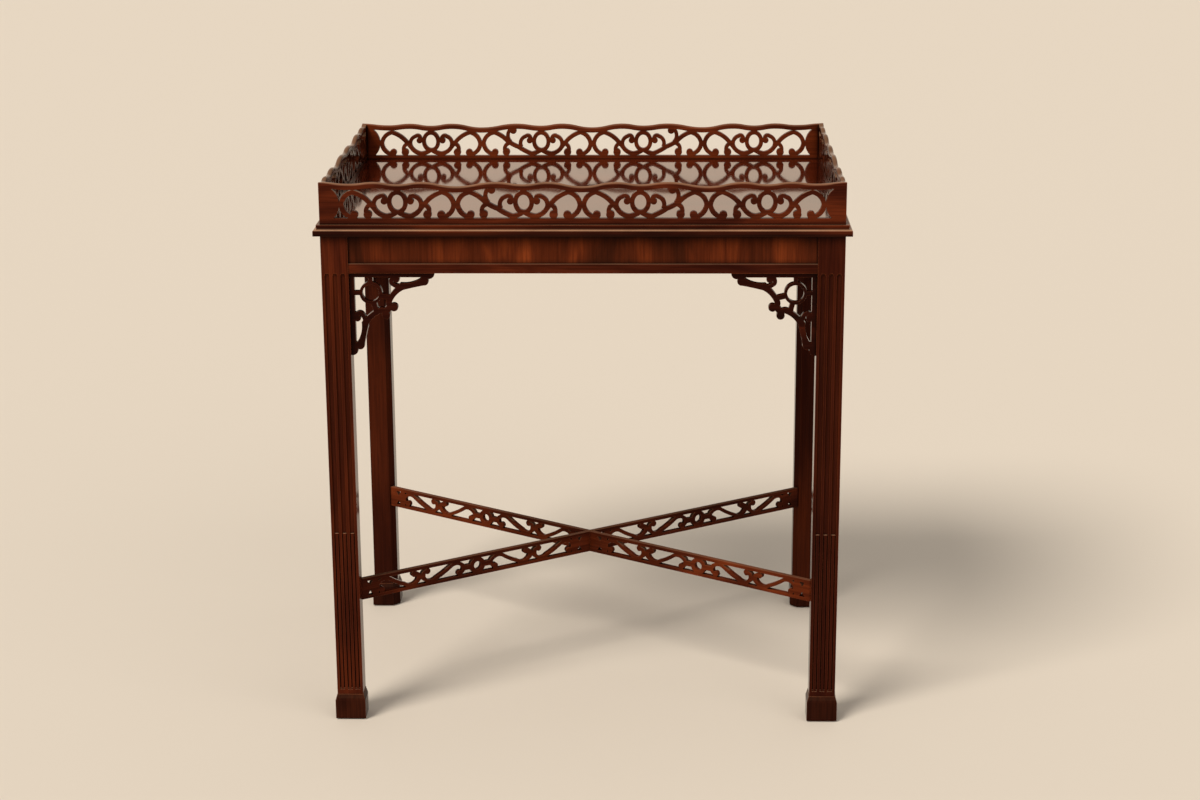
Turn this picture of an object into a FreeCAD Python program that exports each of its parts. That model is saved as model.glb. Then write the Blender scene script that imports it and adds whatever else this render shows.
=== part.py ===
import FreeCAD, Part
import math
import os

# A tea table with a pierced gallery round its top, fluted square legs on block feet, pierced corner
# brackets under the apron and a pierced cross stretcher. The origin is on the floor, below the middle
# of the table, with X along the long side, Y towards the back and Z up. Lengths are in millimetres.

# Overall sizes
table_width = 672.4
table_depth = 461.2
top_height = 687.1
leg_size = 34.8
overrun = 5.0
facet_depth = 0.6
least_corner = 3.2
fine_facet_depth = 0.2

# Tabletop and its edge moulding
top_thickness = 16.9
field_rise = 3.0
moulding_overhang = 8.3
moulding_lip_height = 6.2
moulding_lip_round = 1.7
moulding_step = 4.3
moulding_step_height = 2.6
moulding_cove_depth = 0.6

# Pierced gallery
gallery_thickness = 7.0
gallery_foot_height = 8.0
gallery_tongue = 3.0
gallery_end_width = 26.2
fret_height = 38.0
gallery_rail = 5.8
corner_rise = 8.4
dip_rise = 3.8
crest_rise = 6.1
oval_rise = 3.1
valley_rise = 0.6
scroll_width = 5.8
thin_scroll_width = 5.2
scroll_end_width = 4.4
big_volute = 5.0
foot_volute = 5.4
small_volute = 4.3
branch_volute = 4.9
oval_width = 15.0
oval_height = 19.8
oval_rim = 5.8
oval_neck = 9.0

# Apron
apron_height = 50.2
apron_thickness = 20.0
apron_recess = 3.0
band_height = 12.6
band_recess = 0.8
band_round = 1.6
tenon_thickness = 8.0
tenon_shoulder = 6.0
mortise_wall = 1.8

# Legs, feet and glides
leg_chamfer = 7.8
flute_width = 6.8
flute_bed = 3.8
flute_depth = 2.2
flute_spacing = 10.3
flute_foot = 43.0
cable_top = 266.0
cable_crown = 2.8
cable_rise = 0.9
cable_drop = 0.4
foot_overhang = 2.9
foot_block_height = 27.5
foot_height = 36.0
foot_edge = 0.4
glide_height = 1.5
glide_radius = 8.0

# Corner brackets
bracket_reach = 110.6
bracket_thickness = 9.0
bracket_setback = 6.0
bracket_strip = 6.5
bracket_scroll = 7.2
bracket_scroll_root = 9.6
bracket_scroll_end = 5.2
bracket_ring_hole = 10.8
bracket_ring_rim = 4.0
bracket_stub = 5.4
bracket_link = 6.6
bracket_volute = 5.4
bracket_knuckle = 5.5
bracket_neck = 8.0
bracket_knot = 4.4
ear_radius = 7.2
arm_ear_radius = 5.9
bracket_least_corner = 3.8

# Cross stretcher
stretcher_height = 30.0
stretcher_foot = 161.0
stretcher_thickness = 6.6
stretcher_strip = 4.8
stretcher_scroll = 5.4
stretcher_scroll_end = 4.2
stretcher_stem = 7.0
stretcher_volute = 4.3
stretcher_ring_hole = 5.6
stretcher_ring_rim = 6.4
stretcher_link = 7.4
stretcher_centre = 27.5
stretcher_end = 23.4
stretcher_notch = 6.4
stretcher_notch_depth = 5.2
stretcher_tenon = 8.0
stretcher_shoulder = 5.0

# Glue blocks in the corner between the apron and the top
block_size = 15.0
block_length = 60.0
block_chamfer = 8.0
block_spacing = 300.0

# Round end shares: a bar's breadth near its round end, and its place up the end's height.
round_end_shares = ((0.6, 0.9),)

# Fret shares. A half cell runs from its oval to its outer scroll: each point is a share of the half
# cell's width from the oval, and a share of the fret's height above the foot rail.
front_cell_shares = (0.12, 0.12, 0.14, 0.12, 0.12, 0.14, 0.12, 0.12)
side_cell_shares = (0.1055, 0.182, 0.2125, 0.2125, 0.182, 0.1055)
crest_share = 0.41
dip_share = 0.56
outer_scroll_shares = ((0.768, 0.036), (0.903, 0.170), (0.966, 0.461), (0.903, 0.740), (0.766, 0.892))
outer_volute_share = (0.747, 0.118)
diagonal_shares = ((0.638, 0.784), (0.531, 0.626), (0.452, 0.455), (0.383, 0.284),
                   (0.302, 0.137), (0.195, 0.068), (0.094, 0.116), (-0.027, 0.250))
foot_scroll_shares = ((0.464, 0.455), (0.530, 0.350), (0.530, 0.130))
foot_volute_share = (0.513, 0.126)
long_outer_scroll_shares = ((0.798, 0.036), (0.917, 0.180), (0.970, 0.479), (0.912, 0.750),
                            (0.789, 0.888))
long_outer_volute_share = (0.781, 0.118)
long_diagonal_shares = ((0.668, 0.755), (0.576, 0.574), (0.490, 0.442), (0.386, 0.332),
                        (0.282, 0.184), (0.167, 0.068), (0.081, 0.116), (-0.023, 0.250))
long_foot_scroll_shares = ((0.541, 0.474), (0.606, 0.360), (0.603, 0.140))
long_foot_volute_share = (0.589, 0.137)
branch_shares = ((0.513, 0.513), (0.560, 0.750), (0.520, 1.000))
branch_volute_share = (0.468, 0.965)
small_scroll_shares = ((0.390, 0.329), (0.399, 0.566), (0.306, 0.737), (0.214, 0.700), (0.222, 0.590))
small_volute_share = (0.227, 0.582)
oval_centre_share = 0.542
end_bulge_shares = ((0.37, 1.00), (0.00, 0.50), (0.30, 0.00))
end_top_share = 0.8

# Bracket shares: along the apron, and away from it, each as a share of the bracket's reach.
arm_shares = ((0.870, 0.108), (0.747, 0.149), (0.615, 0.170), (0.527, 0.247), (0.470, 0.330),
              (0.458, 0.385), (0.490, 0.425))
arm_volute_share = (0.515, 0.420)
knuckle_share = (0.547, 0.094)
neck_shares = ((0.545, 0.094), (0.549, 0.134), (0.574, 0.175))
knot_share = 0.443
ear_share = (0.935, 0.014)
arm_ear_share = (0.877, 0.104)
ring_share = 0.249
link_shares = ((0.362, 0.280), (0.415, 0.293), (0.472, 0.308))

# Stretcher shares: along a quarter of the arm's fret from its ring, and up the stretcher's height.
quarter_share = 0.56
hook_shares = ((0.318, 0.290), (0.245, 0.483), (0.284, 0.687), (0.369, 0.787), (0.460, 0.727),
               (0.591, 0.487), (0.733, 0.287), (0.841, 0.187), (0.926, 0.317), (0.964, 0.533),
               (0.900, 0.730))
hook_volute_shares = ((0.318, 0.290), (0.884, 0.705))
stretcher_ring_share = 0.49
stretcher_link_share = 0.24

half_width = table_width / 2
half_depth = table_depth / 2
board_foot = top_height - field_rise
top_foot = top_height - top_thickness
apron_foot = top_foot - apron_height
fret_foot = board_foot + gallery_foot_height
inner_half_width = half_width - leg_size
inner_half_depth = half_depth - leg_size


def point(x, z):
    """A point of a flat outline, which is drawn in the plane of X and Z."""
    return FreeCAD.Vector(x, 0, z)


def placed(share, width, height):
    """The point at a pair of shares of a width and a height."""
    return point(share[0] * width, share[1] * height)


def across(heading):
    """The direction to the left of a heading in the plane of X and Z."""
    return FreeCAD.Vector(-heading.z, 0, heading.x)


def polygon(corners):
    """A flat face inside a ring of corners."""
    return Part.Face(Part.makePolygon(list(corners) + [corners[0]]))


def facet_turn(radius, depth):
    """The angle of the longest chord that leaves a circle by no more than the depth."""
    return 2 * math.acos(1 - min(depth / radius, 1))


def bow(first, middle, last, depth=facet_depth):
    """Corners along an arc through three points, with the first and the last."""
    arc = Part.Arc(first, middle, last).toShape()
    turn = arc.Length / arc.Curve.Radius
    chords = max(1, round(turn / facet_turn(arc.Curve.Radius, depth)))
    return arc.discretize(Number=chords + 1)


def rounded(radius, first, last, corner):
    """Corners along the arc that rounds off the square corner between its two ends."""
    toward = (corner - (first + last) / 2).normalize()
    return bow(first, corner - toward * (radius * (math.sqrt(2) - 1)), last, fine_facet_depth)


def arcs(points):
    """Corners along arcs that share their end points, each through three of the points."""
    corners = [points[0]]
    for start in range(0, len(points) - 1, 2):
        corners += bow(*points[start:start + 3])[1:]
    return corners


def band(points, widths):
    """A scroll's flat band along arcs that share their end points, each through three points."""
    headings = [FreeCAD.Vector() for each in points]
    for start in range(0, len(points) - 1, 2):
        arc = Part.Arc(*points[start:start + 3])
        for index in range(start, start + 3):
            headings[index] += arc.tangent(arc.parameter(points[index]))[0]
    sides = []
    for sign in (1, -1):
        edge = []
        for place, heading, width in zip(points, headings, widths):
            edge.append(place + across(heading).normalize() * (sign * width / 2))
        sides.append(edge)
    left, right = sides
    right.reverse()
    return polygon(arcs(left) + arcs(right))


def scroll(shares, width, height, start, middle, end):
    """A band through shares of a width and a height, which may narrow to its first and last points."""
    points = [placed(share, width, height) for share in shares]
    return band(points, [start] + [middle] * (len(points) - 2) + [end])


def oval(centre, width, height):
    """A flat oval as a polygon of the same area."""
    sides = max(6, round(2 * math.pi / facet_turn((width + height) / 4, facet_depth)))
    turn = 2 * math.pi / sides
    grown = math.sqrt(turn / math.sin(turn)) / 2
    corners = []
    for index in range(sides):
        angle = (index + 0.5) * turn
        corners.append(centre + point(grown * width * math.sin(angle), grown * height * math.cos(angle)))
    return polygon(corners)


def disc(centre, radius):
    return oval(centre, 2 * radius, 2 * radius)


def slab(x_low, x_high, z_low, z_high):
    """A flat rectangle."""
    return polygon([point(x_low, z_low), point(x_high, z_low), point(x_high, z_high),
                    point(x_low, z_high)])


def joined(shapes):
    """One flat face from many that overlap, all turned to face the back first."""
    faces = [face for shape in shapes for face in shape.Faces]
    faces = [face if face.normalAt(0, 0).y > 0 else face.reversed() for face in faces]
    return faces[0].multiFuse(faces[1:]).removeSplitter()


def corner_area(before, corner, after):
    return (corner - before).cross(after - before).Length / 2


def plainer_ring(wire, least):
    """The corners of a wire without the least of them, which hardly change its shape."""
    ring = [vertex.Point for vertex in wire.OrderedVertexes]
    while len(ring) > 3:
        areas = [corner_area(ring[index - 2], ring[index - 1], ring[index])
                 for index in range(len(ring))]
        if min(areas) > least ** 2 / 2:
            break
        del ring[areas.index(min(areas)) - 1]
    return ring


def plainer(shape, least):
    """Flat faces whose corners each stand out by at least a right triangle with legs of that size."""
    faces = []
    for face in shape.Faces:
        holes = [polygon(plainer_ring(wire, least)) for wire in face.Wires
                 if not wire.isSame(face.OuterWire)]
        faces += polygon(plainer_ring(face.OuterWire, least)).cut(Part.makeCompound(holes)).Faces
    return Part.makeCompound(faces)


def sheet(face, thickness):
    """A board with a flat outline, from Y = 0 to the back."""
    return Part.makeCompound([each.extrude(FreeCAD.Vector(0, thickness, 0)) for each in face.Faces])


def block(x, y, z):
    """A box between the two ends given for each axis."""
    size = [ends[1] - ends[0] for ends in (x, y, z)]
    return Part.makeBox(*size, FreeCAD.Vector(x[0], y[0], z[0]))


def prism(corners, z_low, z_high):
    """A solid that stands on a plan given as X and Y pairs."""
    face = polygon([FreeCAD.Vector(x, y, z_low) for x, y in corners])
    return face.extrude(FreeCAD.Vector(0, 0, z_high - z_low))


def skin(rings):
    """A solid through rings of corners whose sides stay parallel from ring to ring."""
    faces = [polygon(rings[0]), polygon(rings[-1])]
    for lower, upper in zip(rings, rings[1:]):
        for index in range(len(lower)):
            faces.append(polygon([lower[index - 1], lower[index], upper[index], upper[index - 1]]))
    solid = Part.makeSolid(Part.makeShell(faces))
    return solid if solid.Volume > 0 else solid.reversed()


def moved(shape, x, y, z):
    copy = shape.copy()
    copy.translate(FreeCAD.Vector(x, y, z))
    return copy


def turned(shape, degrees):
    """A copy turned about the table's upright axis."""
    copy = shape.copy()
    copy.rotate(FreeCAD.Vector(), FreeCAD.Vector(0, 0, 1), degrees)
    return copy


def flipped(shape, x, y, z):
    """A mirror copy across the plane through the origin that faces the given direction."""
    return shape.mirror(FreeCAD.Vector(), FreeCAD.Vector(x, y, z))


def mitred(shape, length, depth, reach):
    """A front piece cut at 45 degrees at both ends, where its outer face has the given length."""
    low, high = shape.BoundBox.ZMin - overrun, shape.BoundBox.ZMax + overrun
    plan = [(-length / 2, -depth), (length / 2, -depth),
            (length / 2 - reach, reach - depth), (reach - length / 2, reach - depth)]
    return shape.common(prism(plan, low, high))


# Gallery
def half_cell(width, near, kind):
    """The scrolls from an oval at X = 0 to the outer scroll: kind is short, long or cut."""
    high = fret_height
    thin = (thin_scroll_width, thin_scroll_width, thin_scroll_width)
    taper = (scroll_end_width, scroll_width, scroll_end_width)
    parts = [scroll(small_scroll_shares, near, high, *thin),
             disc(placed(small_volute_share, near, high), small_volute)]
    if kind == "long":
        parts.append(scroll(long_outer_scroll_shares + long_diagonal_shares, width, high, *taper))
        parts.append(disc(placed(long_outer_volute_share, width, high), big_volute))
        parts.append(scroll(long_foot_scroll_shares, width, high, *thin))
        parts.append(disc(placed(long_foot_volute_share, width, high), foot_volute))
        parts.append(scroll(branch_shares, width, high, *thin))
        parts.append(disc(placed(branch_volute_share, width, high), branch_volute))
        return parts
    if kind == "short":
        parts.append(scroll(outer_scroll_shares + diagonal_shares, width, high, *taper))
        parts.append(disc(placed(outer_volute_share, width, high), big_volute))
    else:
        parts.append(scroll(outer_scroll_shares[-1:] + diagonal_shares, width, high,
                            scroll_width, scroll_width, scroll_end_width))
    parts.append(scroll(foot_scroll_shares, width, high, *thin))
    parts.append(disc(placed(foot_volute_share, width, high), foot_volute))
    return parts


def oval_parts():
    """The rim round an oval hole, without the hole, and the neck that ties it to the top rail."""
    centre = point(0, oval_centre_share * fret_height)
    rim = oval(centre, oval_width + 2 * oval_rim, oval_height + 2 * oval_rim)
    neck_top = fret_height + oval_rise - gallery_rail / 2
    return [rim, slab(-oval_neck / 2, oval_neck / 2, centre.z + oval_height / 2, neck_top)]


def wave(turns, drop):
    """Corners along a wavy edge, level at each turning point, and lowered by the drop."""
    corners = [point(turns[0][0], turns[0][1] - drop)]
    for first, last in zip(turns, turns[1:]):
        run, rise = last[0] - first[0], last[1] - first[1]
        lean = math.atan2(abs(rise), run)
        radius = (run ** 2 + rise ** 2) / (4 * abs(rise))
        step = point(radius * math.sin(lean), math.copysign(radius * (1 - math.cos(lean)), rise))
        start, end = point(first[0], first[1] - drop), point(last[0], last[1] - drop)
        middle = (start + end) / 2
        corners += bow(start, start + step, middle)[1:] + bow(middle, end - step, end)[1:]
    return corners


def top_rail(turns):
    """The strip that follows the gallery's wavy top edge."""
    return polygon(wave(turns, 0) + wave(turns, gallery_rail)[::-1])


def gallery_end(length):
    """The solid end at the left, whose inner edge swells to meet the first scroll."""
    edge = gallery_end_width - length / 2
    swell = [point(edge - share[0] * gallery_end_width, share[1] * fret_height)
             for share in end_bulge_shares]
    top = fret_height + corner_rise - end_top_share * gallery_rail
    return polygon(bow(*swell) + [
        point(swell[2].x, -gallery_foot_height / 2), point(-length / 2, -gallery_foot_height / 2),
        point(-length / 2, top), point(swell[0].x, top)])


def gallery_outline(length, cell_shares):
    """The flat outline of a board, with Z measured from the bottom of its fret."""
    field = length - 2 * gallery_end_width
    widths = [share * field for share in cell_shares]
    near = min(widths[1:-1])
    longest = max(widths)
    top = fret_height
    parts = []
    turns = []
    ovals = []
    place = -field / 2
    for left, right in zip(widths[0::2], widths[1::2]):
        centre = place + left
        for width, side in ((left, -1), (right, 1)):
            kind = "long" if width == longest else "cut" if width < near else "short"
            cell = half_cell(max(width, near), near, kind)
            if side < 0:
                cell = [flipped(each, 1, 0, 0) for each in cell]
            parts += [moved(each, centre, 0, 0) for each in cell]
        parts += [moved(each, centre, 0, 0) for each in oval_parts()]
        hole_centre = point(centre, oval_centre_share * fret_height)
        ovals.append(oval(hole_centre, oval_width, oval_height))
        turns.append((centre - crest_share * max(left, near), top + crest_rise))
        turns.append((centre, top + oval_rise))
        turns.append((centre + crest_share * max(right, near), top + crest_rise))
        place = centre + right
        turns.append((place, top + valley_rise))
    first = turns[0][0]
    dip = -length / 2 + dip_share * (first + length / 2)
    turns = [(-length / 2, top + corner_rise), (dip, top + dip_rise)] + turns[:-1]
    turns += [(-dip, top + dip_rise), (length / 2, top + corner_rise)]
    end = gallery_end(length)
    parts += [end, flipped(end, 1, 0, 0), top_rail(turns),
              slab(-length / 2, length / 2, -gallery_foot_height, 0)]
    return plainer(joined(parts).cut(Part.makeCompound(ovals)), least_corner)


def gallery_board(length, cell_shares, depth):
    """A pierced board as it stands at the front, mitred at its ends, with a tongue along its foot."""
    board = sheet(gallery_outline(length, cell_shares), gallery_thickness)
    board = mitred(moved(board, 0, -depth, fret_foot), length, depth, gallery_thickness)
    return board.fuse(gallery_tongue_bar(length, depth))


def gallery_tongue_bar(length, depth):
    """The tongue under a board, which stops inside the mitres."""
    reach = length / 2 - 2 * gallery_thickness
    start = (gallery_thickness - gallery_tongue) / 2 - depth
    return block((-reach, reach), (start, start + gallery_tongue),
                 (board_foot - gallery_tongue, board_foot))


# Tabletop
def top_panel():
    """The top with its raised field inside the gallery, and grooves for the boards' tongues."""
    panel = block((-half_width, half_width), (-half_depth, half_depth), (top_foot, board_foot))
    inner_x, inner_y = half_width - gallery_thickness, half_depth - gallery_thickness
    panel = panel.fuse(block((-inner_x, inner_x), (-inner_y, inner_y), (board_foot, top_height)))
    for length, depth, turns in ((table_width, half_depth, (0, 180)),
                                 (table_depth, half_width, (90, 270))):
        for degrees in turns:
            panel = panel.cut(turned(gallery_tongue_bar(length, depth), degrees))
    return panel.removeSplitter()


def edge_moulding(length, depth):
    """The front edge moulding: a rounded lip below, a cove and a small step above."""
    lip_side = top_foot + moulding_lip_height
    lip_top = lip_side + moulding_lip_round
    step_foot = board_foot - moulding_step_height

    def at(out, z):
        return FreeCAD.Vector(0, -depth - out, z)

    lip_end = at(moulding_overhang - moulding_lip_round, lip_top)
    lip_face = at(moulding_overhang, lip_side)
    section = rounded(moulding_lip_round, lip_face, lip_end, at(moulding_overhang, lip_top))
    section += bow(at(moulding_step, lip_top),
                   at(moulding_step - moulding_cove_depth, (lip_top + step_foot) / 2),
                   at(moulding_step, step_foot), fine_facet_depth)
    section += [at(moulding_step, board_foot), at(0, board_foot), at(0, top_foot),
                at(moulding_overhang, top_foot)]
    full = length + 2 * moulding_overhang
    bar = polygon(section).extrude(FreeCAD.Vector(full, 0, 0))
    bar.translate(FreeCAD.Vector(-full / 2, 0, 0))
    return mitred(bar, full, depth + moulding_overhang, moulding_overhang)


# Apron
def tenon_length():
    """As long as the leg allows beside the tenon from the other apron rail."""
    return leg_size - apron_recess - (apron_thickness + tenon_thickness) / 2 - mortise_wall


def tenon_bar(length, depth):
    """A bar through the apron rail that stands out at both ends as its tenons."""
    reach = length / 2 - leg_size + tenon_length()
    start = apron_recess + (apron_thickness - tenon_thickness) / 2 - depth
    return block((-reach, reach), (start, start + tenon_thickness),
                 (apron_foot + tenon_shoulder, top_foot - tenon_shoulder))


def apron_rail(length, depth):
    reach = length / 2 - leg_size
    board = block((-reach, reach), (apron_recess - depth, apron_recess + apron_thickness - depth),
                  (apron_foot, top_foot))
    return board.fuse(tenon_bar(length, depth)).removeSplitter()


def apron_band(length, depth):
    """The strip along the foot of the apron, with its upper outer edge rounded."""
    reach = length / 2 - leg_size
    top = apron_foot + band_height

    def at(inwards, z):
        return FreeCAD.Vector(-reach, inwards - depth, z)

    face, ledge = at(band_recess, top - band_round), at(band_recess + band_round, top)
    section = rounded(band_round, face, ledge, at(band_recess, top))
    section += [at(apron_recess, top), at(apron_recess, apron_foot), at(band_recess, apron_foot)]
    return polygon(section).extrude(FreeCAD.Vector(2 * reach, 0, 0))


# Legs and feet, for the front left corner
def leg_plan(out, chamfer):
    """The leg's square plan grown by a margin, with its inner corner cut off."""
    low_x, low_y = -half_width - out, -half_depth - out
    high_x, high_y = leg_size - half_width + out, leg_size - half_depth + out
    return [(low_x, low_y), (high_x, low_y), (high_x, high_y - chamfer),
            (high_x - chamfer, high_y), (low_x, high_y)]


def tapered(section, centre, low, high, width):
    """A bar with a faceted round upper end, from corners around a centre, which are X and Y pairs."""
    rings = []
    for share, rise_share in ((1, 0),) + round_end_shares:
        z = high - width / 2 * (1 - rise_share)
        rings.append([FreeCAD.Vector(centre[0] + share * (x - centre[0]),
                                     centre[1] + share * (y - centre[1]), z) for x, y in section])
    return skin([[FreeCAD.Vector(x, y, low) for x, y in section]] + rings)


def flute_tool(offset):
    """A flute cutter for the leg's front face, less the cable that fills its lower part."""
    x, face = leg_size / 2 - half_width + offset, -half_depth
    half = flute_width / 2
    hollow = [(x - half, face - overrun), (x - half, face), (x - flute_bed / 2, face + flute_depth),
              (x + flute_bed / 2, face + flute_depth), (x + half, face), (x + half, face - overrun)]
    cutter = tapered(hollow, (x, face), flute_foot, apron_foot, flute_width)
    crown, shoulder, root = face + cable_drop, face + cable_drop + cable_rise, face + flute_depth
    cable = [(x - cable_crown / 2, crown), (x + cable_crown / 2, crown),
             (x + half, shoulder), (x + half, root + overrun),
             (x - half, root + overrun), (x - half, shoulder)]
    return cutter.cut(prism(cable, 0, cable_top))


def swapped(shape):
    """The front left leg's front feature on its left face."""
    copy = moved(shape, half_width - leg_size / 2, half_depth - leg_size / 2, 0)
    copy = flipped(copy, 1, -1, 0)
    return moved(copy, leg_size / 2 - half_width, leg_size / 2 - half_depth, 0)


def leg():
    """The front left leg, with flutes on its outer faces and mortises for the rails and stretcher."""
    post = prism(leg_plan(0, leg_chamfer), glide_height, top_foot)
    tools = []
    for index in (-1, 0, 1):
        tool = flute_tool(index * flute_spacing)
        tools += [tool, swapped(tool)]
    tools.append(tenon_bar(table_width, half_depth))
    tools.append(turned(tenon_bar(table_depth, half_width), 270))
    tools.append(stretcher_tenon_bar())
    return post.cut(Part.makeCompound(tools))


def foot():
    """The block round the foot of the leg, with a sloping top."""
    chamfer = leg_chamfer + foot_overhang * (2 - math.sqrt(2))
    top_chamfer = leg_chamfer + foot_edge * (2 - math.sqrt(2))
    rings = []
    for out, cut, z in ((foot_overhang, chamfer, glide_height),
                        (foot_overhang, chamfer, foot_block_height),
                        (foot_edge, top_chamfer, foot_height)):
        rings.append([FreeCAD.Vector(x, y, z) for x, y in leg_plan(out, cut)])
    return skin(rings).cut(prism(leg_plan(0, leg_chamfer), 0, foot_height + overrun))


def glide():
    """A flat round glide under the middle of the leg."""
    round_face = disc(point(0, 0), glide_radius)
    round_face.rotate(FreeCAD.Vector(), FreeCAD.Vector(1, 0, 0), 90)
    glide_solid = round_face.extrude(FreeCAD.Vector(0, 0, glide_height))
    return moved(glide_solid, leg_size / 2 - half_width, leg_size / 2 - half_depth, 0)


# Corner brackets
def bracket_outline():
    """The flat outline beside a leg at X = 0, under an apron at Z = 0, before it is cut to them."""
    reach = bracket_reach

    def below(share):
        return point(share[0] * reach, -share[1] * reach)

    arm = [below(share) for share in arm_shares]
    link = [below(share) for share in link_shares]
    neck = [below(share) for share in neck_shares]
    widths = [bracket_scroll] * len(arm)
    widths[2] = bracket_scroll_root
    widths[-1] = bracket_scroll_end
    half = [slab(0, ear_share[0] * reach, -bracket_strip, 0),
            band(arm, widths),
            band(link, [bracket_link] * len(link)),
            band(neck, [bracket_neck] * len(neck)),
            disc(below(arm_volute_share), bracket_volute),
            disc(below(knuckle_share), bracket_knuckle),
            disc(below(ear_share), ear_radius),
            disc(below(arm_ear_share), arm_ear_radius)]
    centre = below((ring_share, ring_share))
    half.append(slab(centre.x - bracket_stub / 2, centre.x + bracket_stub / 2, centre.z, 0))
    faces = half + [flipped(each, 1, 0, 1) for each in half]
    faces.append(disc(centre, bracket_ring_hole + bracket_ring_rim))
    faces.append(disc(below((knot_share, knot_share)), bracket_knot))
    outline = plainer(joined(faces).cut(disc(centre, bracket_ring_hole)), bracket_least_corner)
    return outline.common(slab(0, reach, -reach, 0))


def bracket_pair(length, depth):
    """The two brackets under the front apron rail, against its legs."""
    one = sheet(bracket_outline(), bracket_thickness)
    left = moved(one, leg_size - length / 2, bracket_setback - depth, apron_foot)
    return Part.makeCompound([left, flipped(left, 1, 0, 0)])


# Cross stretcher
def arm_length():
    """From the middle of the table to the middle of a leg's chamfered corner."""
    return math.hypot(inner_half_width + leg_chamfer / 2, inner_half_depth + leg_chamfer / 2)


def arm_angle():
    return math.degrees(math.atan2(inner_half_depth + leg_chamfer / 2,
                                   inner_half_width + leg_chamfer / 2))


def on_diagonal(shape, degrees):
    """A piece drawn along X, turned onto a diagonal of the table and raised to its place."""
    return turned(moved(shape, 0, -stretcher_thickness / 2, stretcher_foot), degrees)


def stretcher_outline():
    """The flat outline of a whole stretcher arm pair, centred on X = 0, with Z up from its foot."""
    length, height = arm_length(), stretcher_height
    inner, outer = stretcher_centre, length - stretcher_end
    ring_place, half_field = (inner + outer) / 2, (outer - inner) / 2
    quarter = quarter_share * half_field
    hook = [placed(share, quarter, height) for share in hook_shares]
    widths = [stretcher_scroll_end] + [stretcher_scroll] * (len(hook) - 2) + [stretcher_scroll_end]
    widths[-2] = stretcher_stem
    middle = stretcher_ring_share * height
    link_reach = stretcher_link_share * quarter
    pieces = [band(hook, widths),
              slab(0, link_reach, middle - stretcher_link / 2, middle + stretcher_link / 2)]
    pieces += [disc(placed(share, quarter, height), stretcher_volute) for share in hook_volute_shares]
    pieces += [moved(flipped(each, 1, 0, 0), 2 * quarter, 0, 0) for each in pieces]
    pieces += [flipped(each, 1, 0, 0) for each in pieces]
    centre = point(0, middle)
    pieces.append(disc(centre, stretcher_ring_hole + stretcher_ring_rim))
    arm = joined([moved(each, ring_place, 0, 0) for each in pieces])
    arm = arm.cut(disc(point(ring_place, middle), stretcher_ring_hole))
    reach = length + leg_size / 2
    frame = [slab(-reach, reach, 0, stretcher_strip),
             slab(-reach, reach, height - stretcher_strip, height),
             slab(-inner, inner, 0, height), slab(outer, reach, 0, height),
             slab(-reach, -outer, 0, height)]
    whole = plainer(joined(frame + [arm, flipped(arm, 1, 0, 0)]), least_corner)
    whole = whole.common(slab(-reach, reach, 0, height))
    notches = []
    for place in (inner - stretcher_notch, outer + stretcher_notch):
        for low, tip in ((stretcher_strip, stretcher_strip + stretcher_notch_depth),
                         (height - stretcher_strip, height - stretcher_strip - stretcher_notch_depth)):
            corners = [point(place - stretcher_notch / 2, low), point(place, tip),
                       point(place + stretcher_notch / 2, low)]
            notches.append(polygon(corners))
    notches += [flipped(each, 1, 0, 0) for each in notches]
    return whole.cut(Part.makeCompound(notches))


def stretcher_tenon_bar():
    """A bar along the diagonal that ends as the tenon in the front left leg."""
    reach = arm_length() + stretcher_tenon
    bar = block((-reach, 0), (0, stretcher_thickness),
                (stretcher_shoulder, stretcher_height - stretcher_shoulder))
    return on_diagonal(bar, arm_angle())


def stretcher(side, lap_low):
    """One diagonal: side is 1 from the front left, -1 from the front right. The other crosses it."""
    board = on_diagonal(sheet(stretcher_outline(), stretcher_thickness), side * arm_angle())
    post = prism(leg_plan(0, leg_chamfer), 0, top_foot)
    posts = Part.makeCompound(at_four_corners(post))
    board = board.cut(posts)
    tenon = stretcher_tenon_bar()
    tenon = tenon.common(post)
    if side < 0:
        tenon = flipped(tenon, 1, 0, 0)
    board = board.multiFuse([tenon, turned(tenon, 180)])
    lap = block((-arm_length(), arm_length()), (0, stretcher_thickness),
                (lap_low, lap_low + stretcher_height / 2))
    return board.cut(on_diagonal(lap, -side * arm_angle())).removeSplitter()


# Glue blocks
def glue_blocks(length, depth):
    """Blocks, evenly spaced, in the corner behind the front apron rail and under the top."""
    start = apron_recess + apron_thickness - depth
    count = max(1, round((length - 2 * leg_size) / block_spacing))
    section = [(start, top_foot), (start, top_foot - block_size),
               (start + block_size - block_chamfer, top_foot - block_size),
               (start + block_size, top_foot - block_size + block_chamfer),
               (start + block_size, top_foot)]
    blocks = []
    for index in range(count):
        middle = (index + 1) * length / (count + 1) - length / 2
        face = polygon([FreeCAD.Vector(middle - block_length / 2, y, z) for y, z in section])
        blocks.append(face.extrude(FreeCAD.Vector(block_length, 0, 0)))
    return blocks


def at_four_corners(shape):
    """The front left piece and its mirror copies at the other corners."""
    right = flipped(shape, 1, 0, 0)
    return [shape, right, flipped(shape, 0, 1, 0), flipped(right, 0, 1, 0)]


def save(shape, name):
    shape.exportStep("parts/" + name + ".step")


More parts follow.
